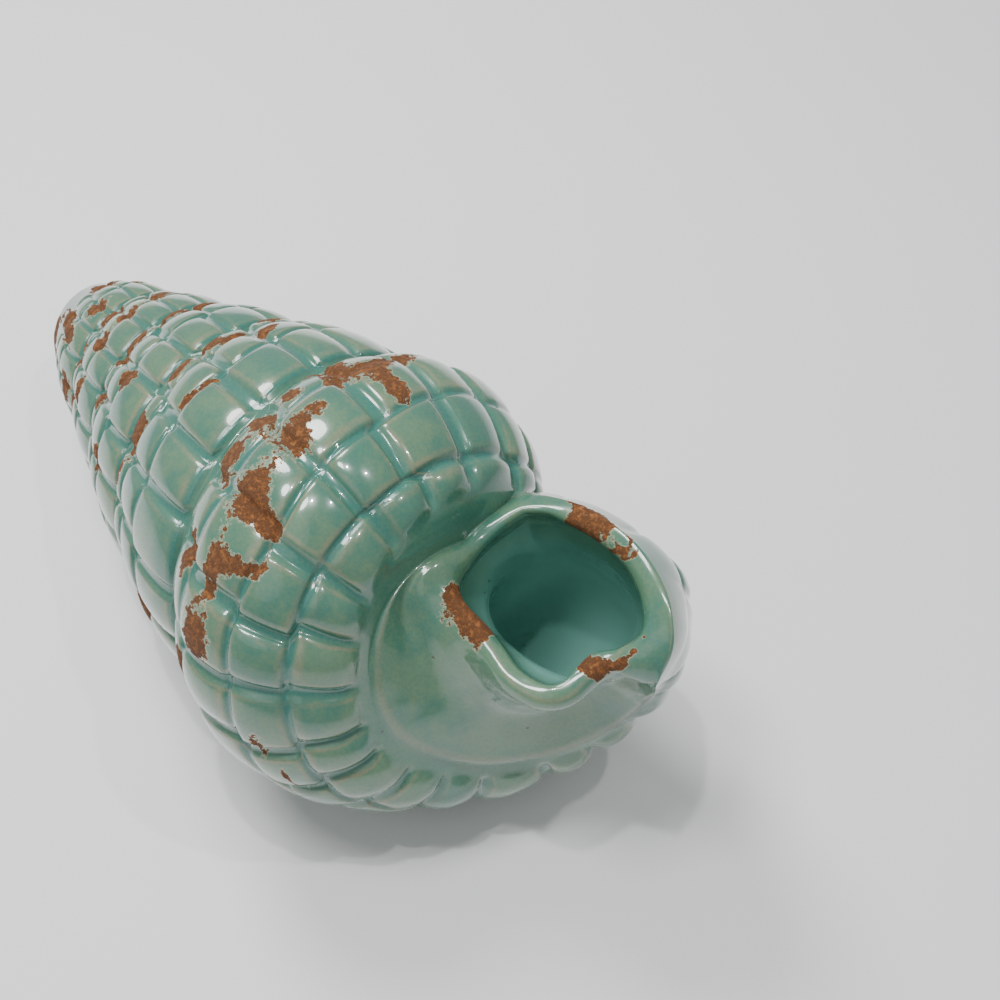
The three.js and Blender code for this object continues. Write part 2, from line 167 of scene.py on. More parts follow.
# ---- the resting pose and the view ---------------------------------------------------------------
REST_UP = np.array([0.57, -0.8, -0.194])
REST_FLAT = 0.9
CAMERA_AT = (0.2819, -0.1480, 0.4795)
CAMERA_LOOK = (-0.4562, 0.3834, -0.8030)
CAMERA_ROLL = math.radians(-0.45)
LENS = 57.6


def ease(t):
    u = np.clip(t, 0, 1)
    return u * u * (3 - 2 * u)


def slopes(xs, ys):
    m = np.empty(len(xs))
    m[0] = (ys[1] - ys[0]) / (xs[1] - xs[0])
    m[-1] = (ys[-1] - ys[-2]) / (xs[-1] - xs[-2])
    before = xs[1:-1] - xs[:-2]
    after = xs[2:] - xs[1:-1]
    rise = (ys[1:-1] - ys[:-2]) / before
    onward = (ys[2:] - ys[1:-1]) / after
    m[1:-1] = (rise * after + onward * before) / (before + after)
    return m


def through(stations, heights):
    """A smooth curve through the stations."""
    xs = np.array(stations, float)
    ys = np.array(heights, float)
    m = slopes(xs, ys)

    def curve(x):
        x = np.asarray(x, float)
        i = np.clip(np.searchsorted(xs, x, side="right") - 1, 0, len(xs) - 2)
        h = xs[i + 1] - xs[i]
        t = (x - xs[i]) / h
        start = (2 * t**3 - 3 * t**2 + 1) * ys[i] + (t**3 - 2 * t**2 + t) * h * m[i]
        return start + (3 * t**2 - 2 * t**3) * ys[i + 1] + (t**3 - t**2) * h * m[i + 1]

    return curve


suture_drop = through(TURN, SUTURE_DROP)
suture_radius = through(TURN, SUTURE_RADIUS)
whorl_size = through(WHORL_TURN, WHORL_SIZE)
swell_out = through(SWELL_TURN, SWELL_OUT)
whorl_down = through(STEP, WHORL_DOWN)
whorl_out = through(STEP, WHORL_OUT)
lip_down = through(STEP, LIP_DOWN)
lip_out = through(STEP, LIP_OUT)
chord_bulge = through([0, 0.06, 0.2, 0.45, 0.7, 0.9, 1], [0, 0.035, 0.06, 0.085, 0.075, 0.04, 0])
rib_count = through(RIB_TURN, RIB_COUNT)
opening_at = [through([p[0] for p in OPENING], [p[k] for p in OPENING]) for k in (1, 2, 3)]


# ---- the smooth coiled surface ---------------------------------------------------------------------
def reach(turn):
    return SPIRE_REACH + (LIP_REACH - SPIRE_REACH) * ease((turn + 1.5) / 0.5)


def body_section(turn, v):
    size = whorl_size(np.maximum(turn, -1))
    lip = ease((turn + 0.4) / 0.4)
    down = whorl_down(v) + (lip_down(v) - whorl_down(v)) * lip
    out = whorl_out(v) + (lip_out(v) - whorl_out(v)) * lip
    belly = swell_out(np.maximum(turn, -1)) * ease((v - 0.2) / 0.5)
    belly = belly * (1 - 0.9 * ease((turn + 0.22) / 0.12) * ease((v - 0.5) / 0.2))
    sag = 8 * (1 - ease((turn + 1) / 0.25)) * ease((v - 0.3) / 0.4)
    return suture_drop(turn) + size * down + sag, suture_radius(turn) + size * out + belly


def spire_section(turn, v):
    full = reach(turn)
    u = v / full
    drop = suture_drop(turn)
    radius = suture_radius(turn)
    along = suture_drop(turn + 1) - drop
    away = suture_radius(turn + 1) - radius
    p = u + 0.06 * u * (1 - u)
    q = chord_bulge(u)
    on_spire = (drop + p * along - q * away, radius + p * away + q * along)
    at_body = body_section(turn, v)
    end = body_section(turn, full)
    w = ease((turn + 1.55) / 0.5)
    target = (drop + along, radius + away)
    return [on_spire[k] + (at_body[k] + (target[k] - end[k]) * u - on_spire[k]) * w for k in (0, 1)]


def skin_point(turn, v):
    body = body_section(turn, v)
    spire = spire_section(np.minimum(turn, -1), v)
    drop = np.where(turn >= -1, body[0], spire[0])
    radius = np.maximum(np.where(turn >= -1, body[1], spire[1]), 0.5)
    angle = START_ANGLE - 2 * math.pi * turn
    return np.stack([radius * np.cos(angle), radius * np.sin(angle), -drop], -1)


def unit(vectors):
    return vectors / np.maximum(np.linalg.norm(vectors, axis=-1, keepdims=True), 1e-9)


def skin_normal(turn, v):
    e = 0.004
    top = np.where(turn >= -1, 1, reach(np.minimum(turn, -1)))
    along = skin_point(np.minimum(turn + e, 0), v) - skin_point(np.maximum(turn - e, -TURNS), v)
    down = skin_point(turn, np.minimum(v + e, top)) - skin_point(turn, np.maximum(v - e, 0))
    return unit(np.cross(along, down))


# ---- the carving ------------------------------------------------------------------------------------
def band_to_section(turn, band):
    """Where a band of the carving lies on the whorl's section: the grooves sway a little and lie
    further apart on the last whorl."""
    last = ease((turn + 1.4) / 0.5)
    knots = [0] + [a + (b - a) * last for a, b in zip(GROOVES, BODY_GROOVES)]
    v = band + (knots[3] - 0.6)
    for k in (3, 2, 1):
        low, high = ([0] + GROOVES)[k - 1], GROOVES[k - 1]
        share = (band - low) / (high - low)
        v = np.where(band <= high, knots[k - 1] + share * (knots[k] - knots[k - 1]), v)
    rib = rib_count(turn)
    sway = np.sin(1.3 * rib + 4 * band) + 0.7 * np.sin(2.9 * rib - 7 * band)
    return v + GROOVE_WANDER * sway * np.sin(math.pi * np.clip(band / 0.62, 0, 1))


def lowest_band(turn):
    """The band at which the next whorl covers this one."""
    return reach(turn) + (GROOVES[2] - BODY_GROOVES[2]) * ease((turn + 1.4) / 0.5)


def rib_at(turn, band):
    """Ribs counted back from the lip; they step a little from band to band and aren't quite even."""
    rib = rib_count(turn)
    step = sum(ease((band - g) / 0.03 + 0.5) for g in GROOVES)
    shift = np.interp(step, range(4), BAND_SHIFT)
    return rib + shift + WANDER * np.sin(2.3 * rib + 1.9 * step)


def carving(turn, v, band, rib):
    """How far the carved surface stands off the smooth one, how far glaze pools there, and how
    smooth it is."""
    d = np.abs(rib - np.round(rib))
    last = ease((turn + 1.15) / 0.15)
    tile = ease((d - TROUGH_HALF) / RIB_EDGE)
    scallop = 0.3 + 0.55 * last * ease((band - 0.56) / 0.1)
    form = tile * (1 - scallop) + np.sin(math.pi * d) * scallop
    crown = 1 - ((0.5 - d) / 0.45) ** 2
    shares = (1, 1, last)
    cut = sum(share * depth * np.exp(-((band - g) / wide) ** 2)
              for g, wide, depth, share in zip(GROOVES, GROOVE_WIDTHS, GROOVE_DEPTHS, shares))
    edges = np.array([0] + GROOVES + [0.94])
    k = np.clip(np.searchsorted(edges, band, side="right") - 1, 0, 3)
    swell = np.sin(math.pi * np.clip((band - edges[k]) / (edges[k + 1] - edges[k]), 0, 1))
    size = 0.45 + 0.55 * ease((turn + 5) / 4)
    rim = ease((-turn - 0.035 * ease((v - 0.5) / 0.2)) / (0.04 + 0.08 * ease((v - 0.4) / 0.3)))
    end = 0.7 + 0.23 * ease((turn + 1) / 0.35)
    foot = np.where(turn >= -1, ease((end - v) / 0.06), 1)
    own = np.floor(rib) * TILE_SCATTER[0] + k * TILE_SCATTER[1]
    uneven = 0.5 * np.sin(own) + 0.5 * np.sin(own * 1.7)
    tall = RIB_HEIGHT * (1 + 0.22 * uneven * tile + 0.35 * last * (k == 3))
    rise = tall * (1.45 * form - 1) + 0.7 * crown * tile + BAND_SWELL * swell * (0.4 + 0.6 * tile)
    rise = (rise - cut * (0.35 + 0.65 * tile)) * rim * foot
    covered = ease((-turn - 1) / 0.03)
    upper = 1 - ease(band / SUTURE_EDGE)
    lower = covered * (1 - ease((lowest_band(np.minimum(turn, -1)) - band) / SUTURE_EDGE))
    near = np.maximum(upper, lower)
    rise = rise * (1 - near) - SUTURE_DENT * np.maximum(upper * rim, lower)
    pooled = np.maximum((1 - tile) * rim * foot, 0.55 * (1 - foot) * rim)
    return rise * size, np.maximum(pooled, 0.8 * near * rim), 1 - rim * foot * (1 - near)


def lean(turn, v):
    """The first ribs of the last whorl lean forward, clear of the mouth, and the last one back."""
    first = 0.07 * ease((v - LIP_REACH) / (1 - LIP_REACH)) * (1 - ease((turn + 1) / 0.3))
    last = 0.04 * ease((v - 0.72) / 0.34) * ease((turn + 0.14) / 0.14)
    return np.where(turn < -1, turn, turn + first - last)


def worn(patches, along, across, growth=0):
    """1 in the middle of a worn patch, falling off round it; patches that touch run together."""
    mask = np.zeros(np.shape(along))
    for place, band, half_along, half_across in patches:
        grown = 1 + growth * place
        far = (((along - place) / half_along) ** 2 + ((across - band) / half_across) ** 2) / grown**2
        mask += (1 - mask) * np.exp(-0.78 * far)
    return mask


class Clay:
    """The mesh as it grows: points, what is known at each, and faces with their pattern corners."""

    def __init__(self):
        self.points = []
        self.values = []
        self.corners = []
        self.patterns = []
        self.count = 0

    def add(self, points, values):
        flat = points.reshape(-1, 3)
        self.points.append(flat)
        self.values.append(np.broadcast_to(values, (*points.shape[:-1], 4)).reshape(-1, 4))
        ids = np.arange(self.count, self.count + len(flat)).reshape(points.shape[:-1])
        self.count += len(flat)
        return ids

    def faces(self, ids, pattern):
        self.corners.append(ids.reshape(-1, 4))
        self.patterns.append(pattern.reshape(-1, 4, 2))

    def band(self, lower, upper, along, across):
        """A strip of faces between two closed rings."""
        ring = np.stack([upper, lower, np.roll(lower, -1), np.roll(upper, -1)], -1)
        ahead = np.roll(along, -1)
        u = np.stack([along, along, ahead, ahead], -1)
        w = np.broadcast_to(np.array([across[1], across[0], across[0], across[1]]), u.shape)
        self.faces(ring, np.stack([u, w], -1))

    def cap(self, ring, tip, along, across):
        """Closes a ring to one point."""
        tips = np.full(len(ring), tip)
        closed = np.stack([ring, np.roll(ring, -1), tips, tips], -1)
        pattern = np.stack([np.stack([along] * 4, -1), np.full((len(ring), 4), across)], -1)
        self.faces(closed, pattern)


def gathered(turn, band):
    """Draws the columns towards the edges of the ribs."""
    rib = rib_at(turn, band)
    whole = np.floor(rib)
    drawn = whole + np.interp(rib - whole, RIB_SHARE, RIB_PLACE) - rib
    held = ease(-turn / 0.05)
    return turn + held * drawn * (RIB_TURN[1] - RIB_TURN[0]) / (RIB_COUNT[1] - RIB_COUNT[0])


def carved_skin(columns, bands, body_only):
    """Points of the carved surface for every column and band, the columns leaning at the mouth."""
    turn = gathered(np.broadcast_to(columns[:, None], bands.shape), bands)
    turn = np.clip(turn, -1 if body_only else -TURNS, 0)
    v = np.minimum(band_to_section(turn, bands), 1)
    at = lean(turn, v)
    rib = rib_at(at, bands)
    rise, pooled, plain = carving(at, v, bands, rib)
    points = skin_point(at, v) + skin_normal(at, v) * rise[..., None]
    wear = worn(WORN_WHORLS, -at, bands, WEAR_GROWTH)
    values = np.stack([wear, pooled, plain, np.zeros_like(plain)], -1)
    return points, values, np.stack([rib, bands], -1)


def coil(clay):
    columns = np.linspace(-TURNS, 0, round(COLUMNS_PER_TURN * TURNS) + 1)
    lowest = lowest_band(np.minimum(columns, -1))
    tail = BANDS[-1] + (lowest[:, None] - BANDS[-1]) * np.array(TAIL)
    bands = np.concatenate([np.broadcast_to(BANDS, (len(columns), len(BANDS))), tail], 1)
    points, values, pattern = carved_skin(columns, bands, False)
    base_bands = np.array(BASE) + (GROOVES[2] - BODY_GROOVES[2])
    base = columns[-COLUMNS_PER_TURN - 1:]
    base_bands = np.broadcast_to(base_bands, (len(base), len(BASE)))
    base_points, base_values, base_pattern = carved_skin(base, base_bands, True)

    n = COLUMNS_PER_TURN
    ids = np.empty(points.shape[:2], int)
    ids[:n, 0] = clay.add(points[:n, 0], values[:n, 0])
    ids[:, 1:] = clay.add(points[:, 1:], values[:, 1:])
    ids[n:, 0] = ids[:-n, -1]
    base_ids = clay.add(base_points, base_values)

    def sheet(grid, marks):
        clay.faces(np.stack([grid[:-1, :-1], grid[:-1, 1:], grid[1:, 1:], grid[1:, :-1]], -1),
                   np.stack([marks[:-1, :-1], marks[:-1, 1:], marks[1:, 1:], marks[1:, :-1]], -2))

    sheet(ids, pattern)
    sheet(np.concatenate([ids[-n - 1:, -1:], base_ids], 1),
          np.concatenate([pattern[-n - 1:, -1:], base_pattern], 1))
    return ids, base_ids


# ---- the blunt apex -------------------------------------------------------------------------------
def apex_dome(clay, ids):
    ring = np.concatenate([ids[:COLUMNS_PER_TURN, 0], ids[0, 1:][::-1]])
    points = np.concatenate(clay.points)
    start = points[ring]
    height = start[:, 2].max() + 3
    along = np.linspace(0, 1, len(ring), endpoint=False) * RIBS_ROUND
    shares = [0.88, 0.76, 0.64, 0.52, 0.4, 0.28, 0.16]
    for share, before in zip(shares, [1] + shares):
        rise = math.sqrt(1 - share * share)
        start = rounded(start, 12)
        wear = worn([[5, 0.9, 1.6, 0.2], [11, 0.4, 3, 0.3], [15, 0.8, 1.5, 0.15]], along, share)
        flat = np.zeros_like(wear)
        after = np.column_stack([start[:, :2] * share, start[:, 2] + (height - start[:, 2]) * rise])
        upper = clay.add(after, np.stack([wear, 0.3 + flat, 1 + flat, flat], -1))
        clay.band(ring, upper, along, (2 - before, 2 - share))
        ring = upper
    tip = clay.add(np.array([[0, 0, height]]), [0, 0.3, 1, 0])[0]
    clay.cap(ring, tip, along, 2)


# ---- basin, rolled lip and hollow --------------------------------------------------------------------
def opening_point(way):
    return np.stack([opening_at[0](way), opening_at[1](way), -opening_at[2](way)], -1)


def mouth_edge(clay, ids, base_ids):
    inner = np.concatenate([ids[-COLUMNS_PER_TURN - 1, -1:], base_ids[0]])
    inner_way = 0.145 * np.arange(len(inner)) / (len(inner) - 1)
    round_ids = base_ids[1:, -1]
    round_way = 0.145 + 0.575 * np.arange(1, len(round_ids) + 1) / len(round_ids)
    outer = np.concatenate([ids[-1, 1:], base_ids[-1, :-1]])[::-1]
    section = np.concatenate([BANDS[1:], BANDS[-1] + (0.73 - BANDS[-1]) * np.array(TAIL), BASE[:-1]])
    outer_way = 0.72 + 0.28 * (1 - section[::-1])
    return np.concatenate([inner, round_ids, outer]), np.concatenate([inner_way, round_way, outer_way])


def rounded(ring, passes):
    """A closed ring averaged with its neighbours."""
    for _ in range(passes):
        ring = (ring * 2 + np.roll(ring, 1, 0) + np.roll(ring, -1, 0)) / 4
    return ring


def lip_rows(gap, way):
    """Share of the way across and rise off the surface, row by row: a plain rounded rim where skin
    and opening lie close, a dished basin and a rolled fold where they don't."""
    roll = np.minimum(through(ROLL_WAY, LIP_ROLL)(way), 0.9 * gap) / gap
    basin = ease((gap - 12) / 14)
    lift = through(ROLL_WAY, LIP_RISE)(way)
    height = np.minimum(lift, 0.45 * gap)
    steps = [(k / BASIN_STEPS, False) for k in range(1, BASIN_STEPS + 1)]
    steps += [(k / FOLD_STEPS, True) for k in range(1, FOLD_STEPS + 1)]
    for row, (q, folded) in enumerate(steps):
        turned = q if folded else 0
        crest = 2.2 * math.sin(math.pi * min(q / 0.16, 1))
        dip = math.pi * max(q - 0.16, 0) / 0.84
        bowl = 0.5 * math.sin(dip) + 0.25 * (1 - math.cos(2 * dip))
        dish = 0 if folded else crest - BASIN_DEPTH * bowl
        wide = (1 if folded else q) * (1 - roll) + roll * math.sin(math.pi * turned / 2)
        s = 0.3 + 0.7 * q if folded else 0.3 * q
        plain = (1 - math.cos(math.pi * s)) / 2
        rise = basin * (dish + lift * math.sin(math.pi * turned))
        up = rise + (1 - basin) * height * math.sin(math.pi * s)
        yield (row + 1) / len(steps), plain + (wide - plain) * basin, up


def mouth(clay, ids, base_ids):
    ring, way = mouth_edge(clay, ids, base_ids)
    start = np.concatenate(clay.points)[ring]
    goal = opening_point(way)
    gap = rounded(np.linalg.norm(goal - start, axis=1), 60)
    along = unit(opening_point((way + 0.01) % 1) - opening_point((way + 0.99) % 1))
    rises = unit(rounded(np.cross(along, unit(goal - start)), 40))
    before = 0
    for share, across, rise in lip_rows(gap, way):
        start = rounded(start, 6)
        points = start + (goal - start) * across[:, None] + rises * rise[:, None]
        wear = worn(WORN_MOUTH, way, across)
        flat = np.zeros_like(wear)
        pooled = 0.55 * (1 - ease(across / 0.25)) * ease((gap - 12) / 14)
        upper = clay.add(points, np.stack([wear, pooled, 1 + flat, flat], -1))
        clay.band(upper, ring, way * RIBS_ROUND, (2 + share, 2 + before))
        ring = upper
        before = share
    return ring, goal, way


def hollow(clay, ring, goal, way):
    turn_at = through(HOLLOW_WAY, HOLLOW_ANGLE)
    a = np.radians(turn_at(way))
    place = np.arange(len(HOLLOW))
    turns, centres, drops, wides, highs = [through(place, [h[k] for h in HOLLOW]) for k in range(5)]
    facing = unit(MOUTH_FACING)
    first = np.concatenate(clay.points)[ring]
    for n in range(1, HOLLOW_RINGS + 1):
        k = n / HOLLOW_RINGS * (len(HOLLOW) - 1)
        radius = centres(k) + wides(k) * np.cos(a)
        angle = START_ANGLE - 2 * math.pi * turns(k)
        drop = drops(k) - highs(k) * np.sin(a)
        tube = np.stack([radius * math.cos(angle), radius * math.sin(angle), -drop], -1)
        straight = goal - facing * (7 + 9 * k) + (goal.mean(0) - goal) * min(0.16 * k, 0.3)
        hold = 1 - ease(k / 1.9)
        points = tube + (straight - tube) * hold
        if n == 1:
            points = (points + first - facing * 3) / 2
        flat = np.zeros(len(way))
        # The hollow's wall ramps over its first rings to the paler teal of painted light.
        deep = flat + ease(n / 4)
        upper = clay.add(points, np.stack([flat, flat, 1 + flat, deep], -1))
        clay.band(upper, ring, way * RIBS_ROUND, (3 + n / HOLLOW_RINGS, 3 + (n - 1) / HOLLOW_RINGS))
        ring = upper
    middle = points.mean(0) + [0, 0, 4]
    tip = clay.add(middle[None], [0, 0, 1, 1])[0]
    clay.cap(ring[::-1], tip, way[::-1] * RIBS_ROUND, 4)


# ---- the fired piece --------------------------------------------------------------------------------
def laid_down(points):
    """Turns the upright shell to its resting pose and places it in the frame's box."""
    up = unit(REST_UP)
    base = np.array([0, 0, -1.0])
    x = unit(base - base.dot(up) * up)
    turned = points @ np.stack([x, np.cross(up, x), up]).T
    low = turned.min(0)
    high = turned.max(0)
    centre = (low + high) / 2
    box_centre = (np.array(CAD_BOX[0]) + np.array(CAD_BOX[1])) / 2
    turned[:, 0] += box_centre[0] / MM - centre[0]
    turned[:, 1] += box_centre[1] / MM - centre[1]
    turned[:, 2] = np.maximum(turned[:, 2] - low[2] - REST_FLAT, 0)
    return turned * MM


def volume(points, quads):
    a, b, c, d = (points[quads[:, k]] for k in range(4))
    return float((np.cross(a, b) * c).sum() + (np.cross(a, c) * d).sum()) / 6


def deselect():
    for thing in bpy.context.selected_objects:
        thing.select_set(False)


def fired_shell():
    clay = Clay()
    ids, base_ids = coil(clay)
    apex_dome(clay, ids)
    hollow(clay, *mouth(clay, ids, base_ids))
    points = laid_down(np.concatenate(clay.points))
    quads = np.concatenate(clay.corners)
    pattern = np.concatenate(clay.patterns)
    if volume(points, quads) < 0:
        quads = quads[:, ::-1]
        pattern = pattern[:, ::-1]
    faces = [list(dict.fromkeys(q)) for q in quads.tolist()]
    mesh = bpy.data.meshes.new("ribbed_shell")
    mesh.from_pydata(points.tolist(), [], faces)
    uv = mesh.uv_layers.new(name="pattern")
    marks = [m for q, p in zip(quads.tolist(), pattern.tolist()) for m in corner_marks(q, p)]
    uv.data.foreach_set("uv", np.array(marks, np.float32).ravel())
    values = np.concatenate(clay.values)
    for k, name in enumerate(("wear", "pooled", "smooth", "hollow_painted_light")):
        layer = mesh.attributes.new(name, "FLOAT", "POINT")
        layer.data.foreach_set("value", values[:, k].astype(np.float32))
    shell = bpy.data.objects.new("ribbed_shell", mesh)
    bpy.context.scene.collection.objects.link(shell)
    deselect()
    shell.select_set(True)
    bpy.context.view_layer.objects.active = shell
    bpy.ops.object.shade_smooth()
    return shell


def corner_marks(quad, marks):
    seen = {}
    for point, mark in zip(quad, marks):
        seen.setdefault(point, mark)
    return seen.values()


# ---- materials ---------------------------------------------------------------------------------------
class Nodes:
    """Short hands for a node tree."""

    def __init__(self, tree):
        self.tree = tree

    def new(self, kind, **settings):
        node = self.tree.nodes.new(kind)
        for name, value in settings.items():
            setattr(node, name, value)
        return node

    def link(self, source, target):
        if isinstance(source, (int, float, tuple)):
            target.default_value = source
        else:
            self.tree.links.new(source, target)

    def math(self, operation, a, b=0.0, c=0.0):
        node = self.new("ShaderNodeMath", operation=operation)
        for socket, value in zip(node.inputs, (a, b, c)):
            self.link(value, socket)
        return node.outputs[0]

    def ramp(self, value, low, high, start=0.0, end=1.0):
        node = self.new("ShaderNodeMapRange", interpolation_type="SMOOTHSTEP")
        for socket, given in zip(node.inputs, (value, low, high, start, end)):
            self.link(given, socket)
        return node.outputs[0]

    def mix(self, factor, a, b):
        node = self.new("ShaderNodeMix", data_type="RGBA")
        self.link(factor, node.inputs["Factor"])
        self.link(a, node.inputs[6])
        self.link(b, node.inputs[7])
        return node.outputs[2]

    def noise(self, vector, scale, detail=3.0, roughness=0.55):
        node = self.new("ShaderNodeTexNoise")
        self.link(vector, node.inputs["Vector"])
        self.link(scale, node.inputs["Scale"])
        self.link(detail, node.inputs["Detail"])
        self.link(roughness, node.inputs["Roughness"])
        return node.outputs["Fac"]

    def attribute(self, name):
        return self.new("ShaderNodeAttribute", attribute_name=name).outputs["Fac"]


def group(name, inputs, outputs):
    """An empty node group with its named sockets, its inner nodes and its input and output node."""
    tree = bpy.data.node_groups.new(name, "ShaderNodeTree")
    for label, kind, value in inputs:
        socket = tree.interface.new_socket(label, in_out="INPUT", socket_type="NodeSocket" + kind)
        if value is not None:
            socket.default_value = value
    for label, kind in outputs:
        tree.interface.new_socket(label, in_out="OUTPUT", socket_type="NodeSocket" + kind)
    nodes = Nodes(tree)
    return tree, nodes, nodes.new("NodeGroupInput").outputs, nodes.new("NodeGroupOutput").inputs


def glaze_mottle():
    """Fine speckle and slow drifts of colour, as a glaze breaks over a light clay body."""
    tree, n, given, out = group("glaze_mottle", [("Vector", "Vector", None)],
                                [("Drift", "Float"), ("Speckle", "Float"), ("Pits", "Float")])
    drift = n.noise(given["Vector"], 38.0, 4.0, 0.6)
    n.link(n.ramp(drift, 0.36, 0.66), out["Drift"])
    fine = n.noise(given["Vector"], 900.0, 4.0, 0.75)
    n.link(n.ramp(fine, 0.38, 0.62), out["Speckle"])
    pits = n.new("ShaderNodeTexVoronoi", distance="EUCLIDEAN")
    n.link(given["Vector"], pits.inputs["Vector"])
    n.link(150.0, pits.inputs["Scale"])
    near = n.ramp(pits.outputs["Distance"], 0.05, 0.085, 1.0, 0.0)
    chosen = n.ramp(n.noise(given["Vector"], 60.0, 1.0), 0.62, 0.66)
    n.link(n.math("MULTIPLY", near, chosen), out["Pits"])
    return tree


def carved_lines():
    """Where the carving is cut: troughs between ribs, spiral grooves, and the ribs' sharp edges."""
    tree, n, given, out = group("carved_lines",
                                [("Pattern", "Vector", None), ("Vector", "Vector", None),
                                 ("Smooth", "Float", 0.0)],
                                [("Trough", "Float"), ("Groove", "Float"), ("Edge", "Float"),
                                 ("Rim", "Float")])
    split = n.new("ShaderNodeSeparateXYZ")
    n.link(given["Pattern"], split.inputs[0])
    wander = n.math("MULTIPLY", n.math("SUBTRACT", n.noise(given["Vector"], 160.0, 2.0), 0.5), 0.12)
    rib = n.math("ADD", split.outputs["X"], wander)
    away = n.math("PINGPONG", rib, 0.5)
    trough = n.ramp(away, 0.4 * TROUGH_HALF, TROUGH_HALF + 0.7 * RIB_EDGE, 1.0, 0.0)
    band = n.math("ADD", split.outputs["Y"], n.math("MULTIPLY", wander, 0.06))
    grooves = None
    shoulders = None
    for place, width in zip(GROOVES, GROOVE_WIDTHS):
        far = n.math("ABSOLUTE", n.math("SUBTRACT", band, place))
        line = n.ramp(far, 0.35 * width, 1.5 * width, 1.0, 0.0)
        shoulder = n.math("MULTIPLY", n.ramp(far, width, 1.8 * width),
                          n.ramp(far, 1.9 * width, 3.4 * width, 1.0, 0.0))
        grooves = line if grooves is None else n.math("MAXIMUM", grooves, line)
        shoulders = shoulder if shoulders is None else n.math("MAXIMUM", shoulders, shoulder)
    carved = n.math("SUBTRACT", 1.0, given["Smooth"])
    n.link(n.math("MULTIPLY", trough, carved), out["Trough"])
    n.link(n.math("MULTIPLY", grooves, carved), out["Groove"])
    side = TROUGH_HALF + RIB_EDGE
    rib_edge = n.math("MULTIPLY", n.ramp(away, side - 0.03, side + 0.01),
                      n.ramp(away, side + 0.02, side + 0.075, 1.0, 0.0))
    edge = n.math("MAXIMUM", rib_edge, n.math("MULTIPLY", shoulders, n.ramp(away, side, side + 0.05)))
    n.link(n.math("MULTIPLY", edge, carved), out["Edge"])
    from_lip, from_basin = [n.math("ABSOLUTE", n.math("SUBTRACT", split.outputs["Y"], row))
                            for row in (LIP_EDGE_ROW, BASIN_EDGE_ROW)]
    rims = n.math("MAXIMUM", n.ramp(from_lip, 0.0, 0.045, 1.0, 0.0),
                  n.ramp(from_basin, 0.0, 0.035, 0.8, 0.0))
    n.link(rims, out["Rim"])
    return tree


def chipped_glaze():
    """Ragged chips through the glaze, ringed by a pale rim that is a painted highlight on the broken glaze
    edge.
    """
    tree, n, given, out = group("chipped_glaze", [("Vector", "Vector", None), ("Wear", "Float", 0.0)],
                                [("Chip", "Float"), ("Rim", "Float"), ("Flecks", "Float")])
    large = n.math("SUBTRACT", n.noise(given["Vector"], 110.0, 4.0, 0.65), 0.5)
    small = n.math("SUBTRACT", n.noise(given["Vector"], 420.0, 3.0, 0.7), 0.5)
    ragged = n.math("ADD", given["Wear"], n.math("MULTIPLY", large, 1.1))
    ragged = n.math("ADD", ragged, n.math("MULTIPLY", small, 0.9))
    n.link(n.ramp(ragged, 0.58, 0.62), out["Chip"])
    # The pale rim round each chip is a painted highlight.
    rim = n.math("MULTIPLY", n.ramp(ragged, 0.46, 0.57), n.ramp(ragged, 0.6, 0.64, 1.0, 0.0))
    n.link(rim, out["Rim"])
    n.link(n.ramp(n.noise(given["Vector"], 620.0, 5.0, 0.8), 0.4, 0.6), out["Flecks"])
    return tree


SAGE = (0.092, 0.2, 0.118, 1)
PALE_SAGE = (0.152, 0.25, 0.138, 1)
TURQUOISE = (0.018, 0.155, 0.132, 1)
# A more turquoise glaze for the hollow, made paler than the outer glaze as painted light falling in.
HOLLOW_TEAL_AND_PAINTED_LIGHT = (0.22, 0.49, 0.42, 1)
THIN_TAN = (0.28, 0.245, 0.145, 1)
# Painted highlight on the broken edge of the glaze round the chips.
CHIP_EDGE_PAINTED_HIGHLIGHT = (0.5, 0.46, 0.32, 1)
RUST = (0.26, 0.095, 0.022, 1)
DARK_RUST = (0.07, 0.028, 0.012, 1)


